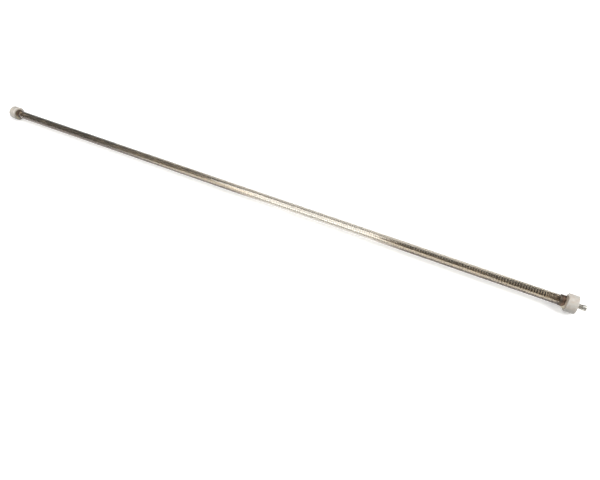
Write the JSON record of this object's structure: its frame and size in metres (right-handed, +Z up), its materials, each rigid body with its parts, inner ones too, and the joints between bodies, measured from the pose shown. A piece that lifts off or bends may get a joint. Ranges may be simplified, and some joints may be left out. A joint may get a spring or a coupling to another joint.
{
  "type": "quartz heating element",
  "caption": "Straight quartz tube heating element with a coiled wire inside, round ceramic end caps and a headed contact pin at each end.",
  "frame": {"origin": "on the tube's axis, half way along its length", "axes": "+X along the tube to the right-hand contact pin, +Y across it, +Z up"},
  "size_m": [0.6976, 0.016, 0.016],
  "materials": {
    "quartz": "clear fused quartz, slightly smoked at the ends",
    "resistance_wire": "dark oxidised resistance alloy",
    "ceramic": "white steatite, thin satin glaze",
    "nickel_plate": "satin nickel plate",
    "washer_steel": "plain stainless steel",
    "stub_steel": "turned steel, dulled by heat",
    "spacer_ceramic": "unglazed steatite",
    "tinted_foil": "stainless foil, heat-tinted copper brown",
    "cement": "refractory cement, tan, heat-stained",
    "ceramic_fibre": "pressed ceramic-fibre paper"
  },
  "bodies": {
    "root": {"quartz_tube": "quartz", "heating_coil": "resistance_wire", "left_end_cap": "ceramic", "left_contact_pin": "nickel_plate", "left_flat_washer": "washer_steel", "left_spring_washer": "washer_steel", "left_pin_nut": "washer_steel", "left_crimp_sleeve": "nickel_plate", "left_coil_stub": "stub_steel", "left_end_spacer": "spacer_ceramic", "left_tube_ferrule": "tinted_foil", "left_cement_seal": "cement", "left_cushion_washer": "ceramic_fibre", "right_end_cap": "ceramic", "right_contact_pin": "nickel_plate", "right_flat_washer": "washer_steel", "right_spring_washer": "washer_steel", "right_pin_nut": "washer_steel", "right_crimp_sleeve": "nickel_plate", "right_coil_stub": "stub_steel", "right_end_spacer": "spacer_ceramic", "right_tube_ferrule": "tinted_foil", "right_cement_seal": "cement", "right_cushion_washer": "ceramic_fibre"}
  },
  "joints": []
}
